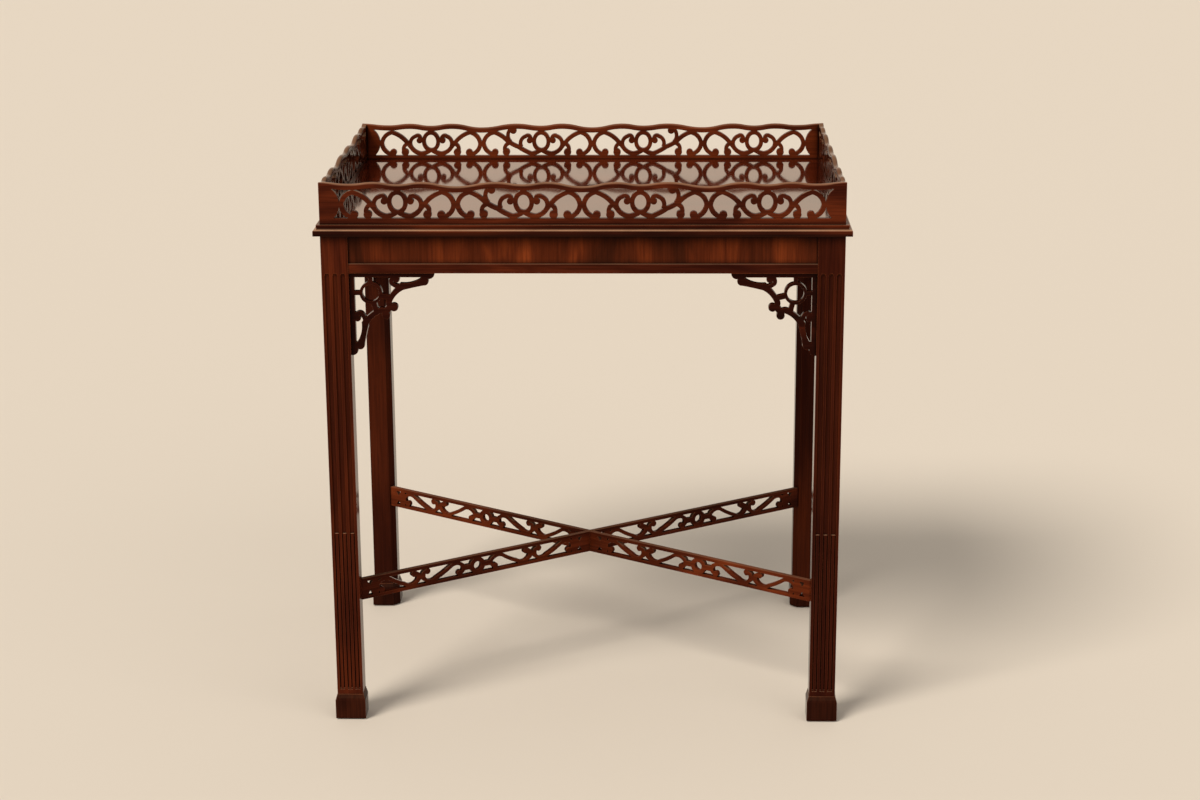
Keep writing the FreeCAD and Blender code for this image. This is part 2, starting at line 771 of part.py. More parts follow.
def build():
    os.makedirs("parts", exist_ok=True)
    save(top_panel(), "top_panel")
    corners = ("front_left", "front_right", "back_left", "back_right")
    for name, shape in zip(corners, at_four_corners(leg())):
        save(shape, "leg_" + name)
    for name, shape in zip(corners, at_four_corners(foot())):
        save(shape, "foot_block_" + name)
    save(Part.makeCompound(at_four_corners(glide())), "foot_glides")

    blocks = []
    sides = (("front", "back", table_width, half_depth, 0, front_cell_shares),
             ("right", "left", table_depth, half_width, 90, side_cell_shares))
    for name, opposite, length, depth, degrees, cells in sides:
        pieces = (("gallery_", gallery_board(length, cells, depth)),
                  ("edge_moulding_", edge_moulding(length, depth)),
                  ("apron_", apron_rail(length, depth)),
                  ("apron_band_", apron_band(length, depth)),
                  ("corner_brackets_", bracket_pair(length, depth)))
        for kind, shape in pieces:
            save(turned(shape, degrees), kind + name)
            save(turned(shape, degrees + 180), kind + opposite)
        for each in glue_blocks(length, depth):
            blocks += [turned(each, degrees), turned(each, degrees + 180)]
    save(Part.makeCompound(blocks), "glue_blocks")
    save(stretcher(1, stretcher_height / 2), "stretcher_front_left_to_back_right")
    save(stretcher(-1, 0), "stretcher_front_right_to_back_left")


build()
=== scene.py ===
import math

import bmesh
import bpy
from mathutils import Matrix, Vector, geometry


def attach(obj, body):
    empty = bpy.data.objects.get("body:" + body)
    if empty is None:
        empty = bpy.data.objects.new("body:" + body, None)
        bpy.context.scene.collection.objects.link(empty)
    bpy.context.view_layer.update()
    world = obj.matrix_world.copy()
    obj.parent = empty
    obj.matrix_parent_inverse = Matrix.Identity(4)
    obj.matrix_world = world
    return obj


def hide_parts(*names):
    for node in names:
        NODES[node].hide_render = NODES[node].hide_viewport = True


# A mahogany tea table with a pierced gallery. X runs to the right, Y to the back and Z up.
# Lengths are in metres, apart from the fretwork drawings, which are in millimetres.

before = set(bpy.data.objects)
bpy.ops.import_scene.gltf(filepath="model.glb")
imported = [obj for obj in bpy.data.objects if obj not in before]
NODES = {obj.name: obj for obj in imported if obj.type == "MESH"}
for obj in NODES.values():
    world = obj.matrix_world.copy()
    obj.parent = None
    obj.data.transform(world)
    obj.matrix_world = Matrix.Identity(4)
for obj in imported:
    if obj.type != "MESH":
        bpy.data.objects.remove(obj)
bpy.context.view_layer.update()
MM = 0.001

# Camera, as the photograph was taken
CAMERA_PLACE = (0.10143, -3.16099, 1.29592)
CAMERA_PITCH = 0.2805
CAMERA_YAW = -0.0272
CAMERA_ROLL = -0.0054
LENS = 70.26
SENSOR = 36.0

# Colours as they look, in sRGB
WOOD_DARK = (46, 15, 8)
WOOD_MID = (72, 28, 14)
WOOD_LIGHT = (106, 45, 21)
WOOD_WORN = (150, 78, 42)
# Lighter tones as painted light, for the stretcher that faces the key lamp and for the back rail.
LIT_WARM_MID = (88, 36, 16)
LIT_WARM_LIGHT = (122, 54, 24)
# Dark for the wood's pores, and for painted shade in corners, creases, under the mouldings and on the
# brackets.
PORE_AND_SHADE_DARK = (24, 11, 7)
# Painted highlight on faces that look up, where light from above catches them.
PAINTED_HIGHLIGHT = (170, 128, 98)
# Darker tones: painted shade on the side rails, and the foot blocks' darker wood.
SHADE_DARK = (38, 15, 9)
SHADE_MID = (52, 22, 12)
SHADE_LIGHT = (66, 29, 15)
VENEER_DARK = (60, 26, 13)
VENEER_MID = (88, 37, 17)
VENEER_LIGHT = (128, 58, 26)
TOP_DARK = (50, 19, 11)
TOP_MID = (72, 29, 16)
TOP_LIGHT = (96, 42, 22)
INNER_DARK = (120, 84, 48)
INNER_MID = (150, 108, 66)
INNER_LIGHT = (172, 130, 84)
STEEL_DARK = (120, 116, 108)
STEEL = (168, 164, 156)
VARNISH = (255, 222, 194)
FLOOR = (226, 214, 198)
BACKDROP = (233, 219, 201)


def linear(colour):
    """An sRGB colour of 0 to 255 as the linear colour that a shader takes."""
    out = []
    for value in colour:
        value /= 255
        out.append(value / 12.92 if value <= 0.04045 else ((value + 0.055) / 1.055) ** 2.4)
    return (*out, 1.0)


class Graph:
    """A small helper that adds nodes to a material and links them."""

    def __init__(self, name):
        self.material = bpy.data.materials.new(name)
        self.material.use_nodes = True
        self.tree = self.material.node_tree
        self.shader = self.tree.nodes["Principled BSDF"]

    def set(self, socket, value):
        if isinstance(value, bpy.types.NodeSocket):
            self.tree.links.new(value, socket)
        else:
            socket.default_value = value

    def add(self, kind, settings=None, **inputs):
        node = self.tree.nodes.new("ShaderNode" + kind)
        for key, value in (settings or {}).items():
            setattr(node, key, value)
        for key, value in inputs.items():
            self.set(node.inputs[int(key[1:]) if key[1:].isdigit() else key.replace("_", " ")], value)
        return node

    def math(self, operation, first, second=0.0, clamp=False):
        settings = {"operation": operation, "use_clamp": clamp}
        return self.add("Math", settings, i0=first, i1=second).outputs[0]

    def ramp(self, factor, stops):
        node = self.add("ValToRGB", i0=factor)
        elements = node.color_ramp.elements
        while len(elements) < len(stops):
            elements.new(0.5)
        for element, (place, colour) in zip(elements, stops):
            element.position = place
            element.color = colour
        return node.outputs[0]

    def mix(self, factor, first, second, blend="MIX"):
        node = self.add("Mix", {"data_type": "RGBA", "blend_type": blend})
        for index, value in ((0, factor), (6, first), (7, second)):
            self.set(node.inputs[index], value)
        return node.outputs[2]

    def noise(self, vector, scale, detail=4.0, roughness=0.55, distortion=0.0):
        node = self.add("TexNoise", Vector=vector, Scale=scale, Detail=detail,
                        Roughness=roughness, Distortion=distortion)
        return node.outputs["Fac"]


# Wood. Noise scales are in cycles to the metre, and stops are places on a noise or mask of 0 to 1.
BLACK, WHITE = (0, 0, 0, 1), (1, 1, 1, 1)
FIGURE_STRETCH, STREAK_STRETCH = 4.0, 40.0
STREAK_SCALE, PORE_SCALE, PATCH_SCALE = 420.0, 1400.0, 26.0
FIGURE_STOPS = (0.30, 0.52, 0.74)
STREAK_STOPS = ((0.33, (0.60, 0.56, 0.54, 1)), (0.62, (1.12, 1.08, 1.05, 1)))
PORE_STOPS = ((0.30, WHITE), (0.40, BLACK))
PORE_DIRT, PORE_RELIEF = 0.35, 0.5
RELIEF_DEPTH = 0.4 * MM
EDGE_RADIUS, EDGE_COSINE, EDGE_GAIN = 1.1 * MM, 0.985, 5.0
# Painted shade in corners within the first reach, where the wood is also rougher, and in narrow creases
# within the second.
CORNER_SHADE_REACH, CORNER_SHADE_STOPS = 9 * MM, ((0.30, BLACK), (0.85, WHITE))
CRACK_REACH, CRACK_STOPS = 2.6 * MM, ((0.55, (0.85, 0.85, 0.85, 1)), (0.93, BLACK))
DULL_CORNERS = 0.25
# Painted highlight on faces that look up, fading in over a millimetre at each end of its heights.
TOP_FACING = (0.25, 0.75)
HIGHLIGHT_FADE, LEAST_HIGHLIGHT = 1 * MM, 0.5
GLANCING, GLANCING_COAT = (0.72, 0.92), 0.85


def stretched(graph, along, stretch, shift):
    """Object coordinates, drawn out by a factor along the direction that the grain runs."""
    coordinates = graph.add("TexCoord").outputs["Object"]
    turn = Vector(along).normalized().to_track_quat("X", "Z").inverted().to_euler()
    node = graph.add("Mapping", Vector=coordinates, Rotation=turn, Location=(shift, shift, shift))
    return graph.add("Mapping", Vector=node.outputs[0], Scale=(1 / stretch, 1, 1)).outputs[0]


def rising(graph, value, first, last, high=1.0, low=0.0):
    """A mask that goes from low to high as the value goes from first to last."""
    return graph.add("MapRange", i0=value, i1=first, i2=last, i3=low, i4=high).outputs[0]


def grained(graph, along, colours, shift, figure, streak):
    """The wood's own colour, from figure, fine streaks and pores, and the relief of its grain."""
    grain = stretched(graph, along, FIGURE_STRETCH, shift)
    fine = stretched(graph, along, STREAK_STRETCH, shift)
    broad = graph.noise(grain, figure, detail=3.0, roughness=0.5, distortion=1.2)
    streaks = graph.noise(fine, STREAK_SCALE, detail=5.0, roughness=0.65)
    pores = graph.noise(fine, PORE_SCALE, detail=2.0, roughness=0.5)
    colour = graph.ramp(broad, list(zip(FIGURE_STOPS, [linear(colour) for colour in colours])))
    colour = graph.mix(streak, colour, graph.ramp(streaks, STREAK_STOPS), "MULTIPLY")
    pore_mask = graph.math("MULTIPLY", graph.ramp(pores, PORE_STOPS), PORE_DIRT)
    relief = graph.math("ADD", streaks, graph.math("MULTIPLY", pores, PORE_RELIEF))
    return graph.mix(pore_mask, colour, linear(PORE_AND_SHADE_DARK)), relief


def worn_and_shaded(graph, colour, normal, patches, wear, shade_in_corners):
    """The colour with worn edges and painted shade in the corners and creases, and the mask of that corner
    shade.
    """
    rounded = graph.add("Bevel", {"samples": 4}, Radius=EDGE_RADIUS).outputs[0]
    facing = graph.add("VectorMath", {"operation": "DOT_PRODUCT"}, i0=normal, i1=rounded).outputs["Value"]
    edge = graph.math("MULTIPLY", graph.math("SUBTRACT", EDGE_COSINE, facing), EDGE_GAIN, True)
    inside = graph.add("AmbientOcclusion", {"samples": 6}, Distance=CORNER_SHADE_REACH).outputs["AO"]
    open_side = graph.ramp(inside, CORNER_SHADE_STOPS)
    worn = graph.math("MULTIPLY", graph.math("MULTIPLY", edge, open_side),
                      graph.math("MULTIPLY", patches, 2 * wear, True), True)
    colour = graph.mix(worn, colour, linear(WOOD_WORN))
    # Painted shade: darker in the corners that ambient occlusion finds, and darker still in narrow creases.
    corner_shade = graph.math("MULTIPLY", graph.math("SUBTRACT", 1.0, open_side), shade_in_corners)
    colour = graph.mix(corner_shade, colour, linear(PORE_AND_SHADE_DARK))
    crevice = graph.add("AmbientOcclusion", {"samples": 6}, Distance=CRACK_REACH).outputs["AO"]
    return graph.mix(graph.ramp(crevice, CRACK_STOPS), colour, linear(PORE_AND_SHADE_DARK)), corner_shade


def painted_light_by_height(graph, colour, normal, patches, shades, highlights):
    """The colour with its painted shades and painted highlights. A shade goes from nothing at its first
    height to its amount at its second. A highlight lightens what faces up between its two heights."""
    height = graph.add("SeparateXYZ", i0=graph.add("TexCoord").outputs["Object"]).outputs["Z"]
    # Painted shade, by height.
    for first, last, amount, tone in shades:
        colour = graph.mix(rising(graph, height, first, last, amount), colour, linear(tone))
    # Painted highlight: lighter where the surface faces up.
    upward = rising(graph, graph.add("SeparateXYZ", i0=normal).outputs["Z"], *TOP_FACING)
    for low, high, amount in highlights:
        above = rising(graph, height, low - HIGHLIGHT_FADE, low, amount)
        below = rising(graph, height, high + HIGHLIGHT_FADE, high)
        mask = graph.math("MULTIPLY", graph.math("MULTIPLY", above, below), upward)
        mask = graph.math("MULTIPLY", mask, graph.math("ADD", patches, LEAST_HIGHLIGHT), True)
        colour = graph.mix(mask, colour, linear(PAINTED_HIGHLIGHT))
    return colour


def wood(name, along, colours, shift=0.0, figure=18.0, streak=1.0, bump=0.04, gloss=0.26, blur=0.16,
         specular=0.0, coat=0.04, coat_gloss=0.14, wear=0.6, shade_in_corners=0.7, shades=(), highlights=()):
    """Polished wood. Without a specular level of its own it shines only at a glancing angle."""
    graph = Graph(name)
    shader = graph.shader.inputs
    patches = graph.noise(graph.add("TexCoord").outputs["Object"], PATCH_SCALE, detail=4.0, roughness=0.6)
    normal = graph.add("NewGeometry").outputs["Normal"]
    colour, relief = grained(graph, along, colours, shift, figure, streak)
    colour, corner_shade = worn_and_shaded(graph, colour, normal, patches, wear, shade_in_corners)
    # Painted shades and painted highlights, by height.
    graph.set(shader["Base Color"], painted_light_by_height(graph, colour, normal, patches, shades, highlights))
    rough = graph.math("ADD", graph.math("MULTIPLY", patches, blur), gloss)
    # Rougher in the corners that take the painted shade.
    graph.set(shader["Roughness"], graph.math("ADD", rough, graph.math("MULTIPLY", corner_shade, DULL_CORNERS)))
    shader["Coat Weight"].default_value = coat
    if not specular:
        facing = graph.add("LayerWeight", Blend=0.5).outputs["Facing"]
        graph.set(shader["Coat Weight"], rising(graph, facing, *GLANCING, GLANCING_COAT, coat))
    shader["Coat Roughness"].default_value = coat_gloss
    shader["Specular IOR Level"].default_value = specular
    bumps = graph.add("Bump", Strength=bump, Distance=RELIEF_DEPTH, Height=relief)
    graph.set(shader["Normal"], bumps.outputs[0])
    return graph.material


def dress(name, material, bevel=0.0):
    """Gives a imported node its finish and, where asked, softened edges."""
    node = NODES[name]
    node.data.materials.clear()
    node.data.materials.append(material)
    if bevel:
        soften(node, bevel)


def soften(piece, width):
    """Rounds a piece's edges a little."""
    weld = piece.modifiers.new("weld", "WELD")
    weld.merge_threshold = WELD_GAP
    soft = piece.modifiers.new("soft edges", "BEVEL")
    soft.width = width
    soft.segments = 2
    soft.limit_method = "ANGLE"
    soft.angle_limit = LEAST_EDGE
    soft.harden_normals = True
    soft.use_clamp_overlap = True


# Shapes. The frets are drawn again with true curves. The mouldings and bands curve through the
# corners of their packed sections, which stay sharp at a sharp turn or beside a long straight edge.
UP = Vector((0, 0, 1))
WELD_GAP = 0.01 * MM
LEAST_EDGE = math.radians(22)
SMOOTH_TURN = math.radians(48)
SHARP_TURN = math.radians(70)
STRAIGHT = 0.8 * MM
OUT_OF_LINE = 0.02 * MM
LEAST_BEND = 0.002
CURVE_STEPS = 4
SAME_FACING = 0.99
SAME_LEVEL = 0.05 * MM
UPRIGHT = 0.01
CREASE = 0.5 * MM
EDGE_STEPS = 4
TOP_ROUND = 3.0 * MM
TOP_TAPER = 26 * MM
MITRE_LIMIT = 0.5
EASING = 0.6
EASING_PASSES = 12
CAP_GAP = 0.0001 * MM
OVERLAP = 1 * MM
FLUTE_SPACING = 10.3 * MM
LINE_ENDS = (45.0 * MM, 265.0 * MM)
LINE_SECTION = ((1.7 * MM, -1.0 * MM), (1.9 * MM, 2.5 * MM), (2.9 * MM, 2.5 * MM), (3.6 * MM, -1.0 * MM))
LEG_EDGE = 0.35 * MM


def rings_of(node, normal, along):
    """The rings of a node's outermost face that way, as lists of places along it and up."""
    mesh = NODES[node].data
    level = max(vertex.co.dot(normal) for vertex in mesh.vertices)
    loops = []
    for face in mesh.polygons:
        if face.normal.dot(normal) >= SAME_FACING and abs(face.center.dot(normal) - level) <= SAME_LEVEL:
            corners = [mesh.vertices[index].co for index in face.vertices]
            loops.append([(round(co.dot(along), 6), round(co.z, 6)) for co in corners])
    return [[Vector(spot) for spot in ring] for ring in outlines(loops)], level


def ring_area(ring):
    return sum(start.x * end.y - end.x * start.y for start, end in zip(ring, ring[1:] + ring[:1])) / 2


def without_straights(ring):
    """A ring without the corners that lie on the line between their neighbours."""
    kept = []
    for index, spot in enumerate(ring):
        into = (spot - ring[index - 1]).normalized()
        out = (ring[(index + 1) % len(ring)] - spot).normalized()
        if abs(into.cross(out)) > LEAST_BEND:
            kept.append(spot)
    return kept


def smooth_ring(ring):
    """A ring with a curve through its corners, apart from sharp ones and straight edges."""
    ring = without_straights(ring)
    count = len(ring)
    sharp = []
    for index, spot in enumerate(ring):
        into, out = spot - ring[index - 1], ring[(index + 1) % count] - spot
        flat = any(edge.length > STRAIGHT and min(abs(edge.x), abs(edge.y)) < OUT_OF_LINE
                   for edge in (into, out))
        sharp.append(flat or abs(math.atan2(into.cross(out), into.dot(out))) > SHARP_TURN)
    points = []
    for index in range(count):
        onward = (index + 1) % count
        start, end = ring[index], ring[onward]
        points.append(start)
        if sharp[index] and sharp[onward]:
            continue
        before = start * 2 - end if sharp[index] else ring[index - 1]
        after = end * 2 - start if sharp[onward] else ring[(index + 2) % count]
        points += curve_between(before, start, end, after)
    return points


def curve_between(before, start, end, after):
    """Points from start to end on the curve that also runs through the points around them."""
    spots = [before, start, end, after]
    knots = [0.0]
    for first, last in zip(spots, spots[1:]):
        knots.append(knots[-1] + max((last - first).length, 0.001 * MM) ** 0.5)
    points = []
    for step in range(1, CURVE_STEPS):
        place = knots[1] + (knots[2] - knots[1]) * step / CURVE_STEPS
        outer = [blended(spots[index], spots[index + 1], knots[index], knots[index + 1], place)
                 for index in range(3)]
        inner = [blended(outer[index], outer[index + 1], knots[index], knots[index + 2], place)
                 for index in range(2)]
        points.append(blended(inner[0], inner[1], knots[1], knots[2], place))
    return points


def blended(first, last, low, high, place):
    return first * ((high - place) / (high - low)) + last * ((place - low) / (high - low))


# Fretwork drawings, in millimetres until tidy_ring scales them.
# A share is a part of the width or height that the drawing names.
CHORD = 1.4
HAIR = 0.12
SAME_SPOT = 0.002
GALLERY = {"end": 26.2, "foot": 8.0, "high": 38.0, "rail": 7.3, "oval": (15.0, 19.8), "rim": 5.9,
           "neck": 9.0}
CORNER_RISE, DIP_RISE, CREST_RISE, OVAL_RISE, VALLEY_RISE = 8.4, 6.1, 8.4, 5.4, 2.9
SCROLL, THIN_SCROLL, SCROLL_END = 6.1, 5.5, 4.6
BIG_VOLUTE, FOOT_VOLUTE, SMALL_VOLUTE, BRANCH_VOLUTE = 5.1, 5.5, 4.4, 5.0
CELL_SHARES = {"front": (0.12, 0.12, 0.14, 0.12, 0.12, 0.14, 0.12, 0.12),
               "side": (0.1055, 0.182, 0.2125, 0.2125, 0.182, 0.1055)}
CREST_SHARE, DIP_SHARE, OVAL_CENTRE_SHARE, END_TOP_SHARE = 0.41, 0.56, 0.542, 0.8
OUTER_SHARES = ((0.768, 0.036), (0.903, 0.170), (0.966, 0.461), (0.903, 0.740), (0.766, 0.892))
OUTER_VOLUTE_SHARE = (0.747, 0.118)
DIAGONAL_SHARES = ((0.638, 0.784), (0.531, 0.626), (0.452, 0.455), (0.383, 0.284), (0.302, 0.137),
                   (0.195, 0.068), (0.094, 0.116), (-0.027, 0.250))
FOOT_SHARES = ((0.464, 0.455), (0.530, 0.350), (0.530, 0.130))
FOOT_VOLUTE_SHARE = (0.513, 0.126)
LONG_OUTER_SHARES = ((0.798, 0.036), (0.917, 0.180), (0.970, 0.479), (0.912, 0.750), (0.789, 0.888))
LONG_OUTER_VOLUTE_SHARE = (0.781, 0.118)
LONG_DIAGONAL_SHARES = ((0.668, 0.755), (0.576, 0.574), (0.490, 0.442), (0.386, 0.332),
                        (0.282, 0.184), (0.167, 0.068), (0.081, 0.116), (-0.023, 0.250))
LONG_FOOT_SHARES = ((0.541, 0.474), (0.606, 0.360), (0.603, 0.140))
LONG_FOOT_VOLUTE_SHARE = (0.589, 0.137)
BRANCH_SHARES = ((0.513, 0.513), (0.560, 0.750), (0.520, 1.000))
BRANCH_VOLUTE_SHARE = (0.468, 0.965)
SMALL_SHARES = ((0.390, 0.329), (0.399, 0.566), (0.306, 0.737), (0.214, 0.700), (0.222, 0.590))
SMALL_VOLUTE_SHARE = (0.227, 0.582)
BULGE_SHARES = ((0.37, 1.00), (0.00, 0.50), (0.30, 0.00))

BRACKET = {"strip": 6.5, "scroll": 7.2, "tip": 11.0, "root": 9.6, "end": 5.2, "hole": 10.8,
           "rim": 4.0, "stub": 5.4, "link": 6.6, "neck": 5.4}
ARM_SHARES = ((0.870, 0.108), (0.747, 0.149), (0.615, 0.170), (0.527, 0.247), (0.470, 0.330),
              (0.458, 0.385), (0.490, 0.425))
NECK_SHARES = ((0.530, 0.062), (0.490, 0.100), (0.515, 0.146), (0.550, 0.164), (0.590, 0.172))
LINK_SHARES = ((0.362, 0.280), (0.415, 0.293), (0.472, 0.308))
DISC_SHARES = ((0.515, 0.420), (0.550, 0.082), (0.935, 0.014), (0.877, 0.104))
DISC_RADII = (5.4, 4.6, 7.2, 5.9)
STRIP_SHARE, RING_SHARE, KNOT_SHARE, KNOT = 0.935, 0.249, 0.443, 4.4

STRETCHER = {"strip": 4.8, "scroll": 5.4, "end": 4.2, "stem": 7.0, "volute": 4.4, "hole": 5.6,
             "rim": 6.4, "link": 7.4, "centre": 27.5, "margin": 23.4, "notch": 8.2, "notch_depth": 6.2,
             "block": 4.2}
HOOK_SHARES = ((0.318, 0.290), (0.245, 0.483), (0.284, 0.687), (0.369, 0.787), (0.460, 0.727),
               (0.591, 0.487), (0.733, 0.287), (0.841, 0.187), (0.926, 0.317), (0.964, 0.533),
               (0.900, 0.730))
HOOK_VOLUTE_SHARES = ((0.318, 0.290), (0.884, 0.705))
QUARTER_SHARE, STRETCHER_RING_SHARE, LINK_SHARE = 0.56, 0.49, 0.24


def placed(share, width, height):
    return Vector((share[0] * width, share[1] * height))


def arc(first, middle, last):
    """Points along the arc through three points, and its direction at each of the three."""
    one, two = middle - first, last - first
    area = 2 * one.cross(two)
    if abs(area) < 1e-6:
        heading = two.normalized()
        return [first, last], [heading] * 3
    centre = first + Vector((two.y * one.length_squared - one.y * two.length_squared,
                             one.x * two.length_squared - two.x * one.length_squared)) / area
    turn = 1 if area > 0 else -1
    start = math.atan2(*(first - centre).yx)
    sweep = turn * ((turn * (math.atan2(*(last - centre).yx) - start)) % (2 * math.pi))
    radius = (first - centre).length
    count = max(2, math.ceil(abs(sweep) * radius / CHORD))
    points = []
    for step in range(count + 1):
        angle = start + sweep * step / count
        points.append(centre + Vector((math.cos(angle), math.sin(angle))) * radius)
    headings = [(spot - centre).orthogonal() * turn for spot in (first, middle, last)]
    return points, [heading.normalized() for heading in headings]


def arcs(points):
    """Points along arcs that share their end points, each through three of the points."""
    corners = [points[0]]
    for start in range(0, len(points) - 1, 2):
        corners += arc(*points[start:start + 3])[0][1:]
    return corners


def band(points, widths):
    """A scroll's outline: a band along arcs, as wide at each point as its width says."""
    headings = [Vector((0, 0)) for each in points]
    for start in range(0, len(points) - 1, 2):
        for index, heading in enumerate(arc(*points[start:start + 3])[1]):
            headings[start + index] += heading
    sides = []
    for sign in (1, -1):
        sides.append([spot + heading.normalized().orthogonal() * (sign * width / 2)
                      for spot, heading, width in zip(points, headings, widths)])
    return arcs(sides[0]) + arcs(sides[1][::-1])


def scroll(shares, width, height, start, middle, end):
    points = [placed(share, width, height) for share in shares]
    return band(points, [start] + [middle] * (len(points) - 2) + [end])


def oval(centre, width, height):
    count = max(16, math.ceil(math.pi * (width + height) / 2 / CHORD))
    angles = [2 * math.pi * (index + 0.5) / count for index in range(count)]
    return [centre + Vector((math.cos(angle) * width, math.sin(angle) * height)) / 2 for angle in angles]


def disc(centre, radius):
    return oval(centre, 2 * radius, 2 * radius)


def slab(left, right, low, high):
    return [Vector(spot) for spot in ((left, low), (right, low), (right, high), (left, high))]


def moved(shape, x, flip=1, y=0.0):
    return [Vector((spot.x * flip + x, spot.y + y)) for spot in shape]


def joined(shapes, cuts):
    """The rings round all that lies in any of the shapes and in none of the cuts."""
    spots, loops = [], []
    for shape in shapes + cuts:
        ring = shape if ring_area(shape) > 0 else shape[::-1]
        loops.append(list(range(len(spots), len(spots) + len(ring))))
        spots += ring
    made = geometry.delaunay_2d_cdt(spots, [], loops, 1, SAME_SPOT)
    inside = [triangle for triangle, owners in zip(made[2], made[5])
              if owners and max(owners) < len(shapes)]
    return [tidy_ring([made[0][index] for index in ring]) for ring in outlines(inside)]


def outlines(loops):
    """The rings round a set of faces, each face given as the loop of its corners."""
    uses = set()
    for loop in loops:
        for start, end in zip(loop, loop[1:] + loop[:1]):
            if (end, start) in uses:
                uses.remove((end, start))
            else:
                uses.add((start, end))
    following = {}
    for start, end in sorted(uses):
        following.setdefault(start, []).append(end)
    rings = []
    while following:
        spot = next(iter(following))
        ring = []
        while spot in following:
            ring.append(spot)
            onward = following[spot].pop()
            if not following[spot]:
                del following[spot]
            spot = onward
        rings.append(ring)
    return rings


def tidy_ring(ring):
    """A ring in metres, without corners that lie in line or closer than a hair to the last one."""
    kept = []
    for spot in ring:
        if not kept or (spot - kept[-1]).length > HAIR:
            kept.append(spot)
    return without_straights([spot * MM for spot in kept])


def half_cell(width, near, kind):
    """The scrolls from an oval at 0 to the outer scroll: kind is short, long or cut."""
    high = GALLERY["high"]
    thin = (THIN_SCROLL, THIN_SCROLL, THIN_SCROLL)
    taper = (SCROLL_END, SCROLL, SCROLL_END)
    parts = [scroll(SMALL_SHARES, near, high, *thin),
             disc(placed(SMALL_VOLUTE_SHARE, near, high), SMALL_VOLUTE)]
    if kind == "long":
        return parts + [
            scroll(LONG_OUTER_SHARES + LONG_DIAGONAL_SHARES, width, high, *taper),
            disc(placed(LONG_OUTER_VOLUTE_SHARE, width, high), BIG_VOLUTE),
            scroll(LONG_FOOT_SHARES, width, high, *thin),
            disc(placed(LONG_FOOT_VOLUTE_SHARE, width, high), FOOT_VOLUTE),
            scroll(BRANCH_SHARES, width, high, *thin),
            disc(placed(BRANCH_VOLUTE_SHARE, width, high), BRANCH_VOLUTE)]
    if kind == "short":
        parts += [scroll(OUTER_SHARES + DIAGONAL_SHARES, width, high, *taper),
                  disc(placed(OUTER_VOLUTE_SHARE, width, high), BIG_VOLUTE)]
    else:
        parts.append(scroll(OUTER_SHARES[-1:] + DIAGONAL_SHARES, width, high, SCROLL, SCROLL, SCROLL_END))
    return parts + [scroll(FOOT_SHARES, width, high, *thin),
                    disc(placed(FOOT_VOLUTE_SHARE, width, high), FOOT_VOLUTE)]


def wave(turns, drop):
    """Points along a wavy edge, level at each turning point, and lowered by the drop."""
    points = [Vector((turns[0][0], turns[0][1] - drop))]
    for first, last in zip(turns, turns[1:]):
        run, rise = last[0] - first[0], last[1] - first[1]
        lean = math.atan2(abs(rise), run)
        radius = (run ** 2 + rise ** 2) / (4 * abs(rise))
        side = radius * (1 - math.cos(lean))
        step = Vector((radius * math.sin(lean), side if rise > 0 else -side))
        start, end = Vector((first[0], first[1] - drop)), Vector((last[0], last[1] - drop))
        middle = (start + end) / 2
        points += arc(start, start + step, middle)[0][1:] + arc(middle, end - step, end)[0][1:]
    return points


def gallery_drawing(length, cell_shares):
    """A board's rings, with its height measured from the bottom of the fret."""
    high, foot, end_width, rail = GALLERY["high"], GALLERY["foot"], GALLERY["end"], GALLERY["rail"]
    field = length - 2 * end_width
    widths = [share * field for share in cell_shares]
    near, longest = min(widths[1:-1]), max(widths)
    shapes, turns, cuts = [], [], []
    place = -field / 2
    hole = GALLERY["oval"]
    rim = [size + 2 * GALLERY["rim"] for size in hole]
    for left, right in zip(widths[0::2], widths[1::2]):
        centre = place + left
        for width, flip in ((left, -1), (right, 1)):
            kind = "long" if width == longest else "cut" if width < near else "short"
            shapes += [moved(each, centre, flip) for each in half_cell(max(width, near), near, kind)]
        middle = Vector((centre, OVAL_CENTRE_SHARE * high))
        shapes += [oval(middle, *rim), slab(centre - GALLERY["neck"] / 2, centre + GALLERY["neck"] / 2,
                                            middle.y + hole[1] / 2, high + OVAL_RISE - rail / 2)]
        cuts.append(oval(middle, *hole))
        turns += [(centre - CREST_SHARE * max(left, near), high + CREST_RISE), (centre, high + OVAL_RISE),
                  (centre + CREST_SHARE * max(right, near), high + CREST_RISE)]
        place = centre + right
        turns.append((place, high + VALLEY_RISE))
    dip = -length / 2 + DIP_SHARE * (turns[0][0] + length / 2)
    turns = [(-length / 2, high + CORNER_RISE), (dip, high + DIP_RISE)] + turns[:-1]
    turns += [(-dip, high + DIP_RISE), (length / 2, high + CORNER_RISE)]
    edge = end_width - length / 2
    swell = [Vector((edge - share[0] * end_width, share[1] * high)) for share in BULGE_SHARES]
    top = high + CORNER_RISE - END_TOP_SHARE * rail
    end = arc(*swell)[0] + [Vector((swell[2].x, -foot / 2)), Vector((-length / 2, -foot / 2)),
                            Vector((-length / 2, top)), Vector((swell[0].x, top))]
    shapes += [end, moved(end, 0, -1), wave(turns, 0) + wave(turns, rail)[::-1],
               slab(-length / 2, length / 2, -foot, 0)]
    return joined(shapes, cuts)


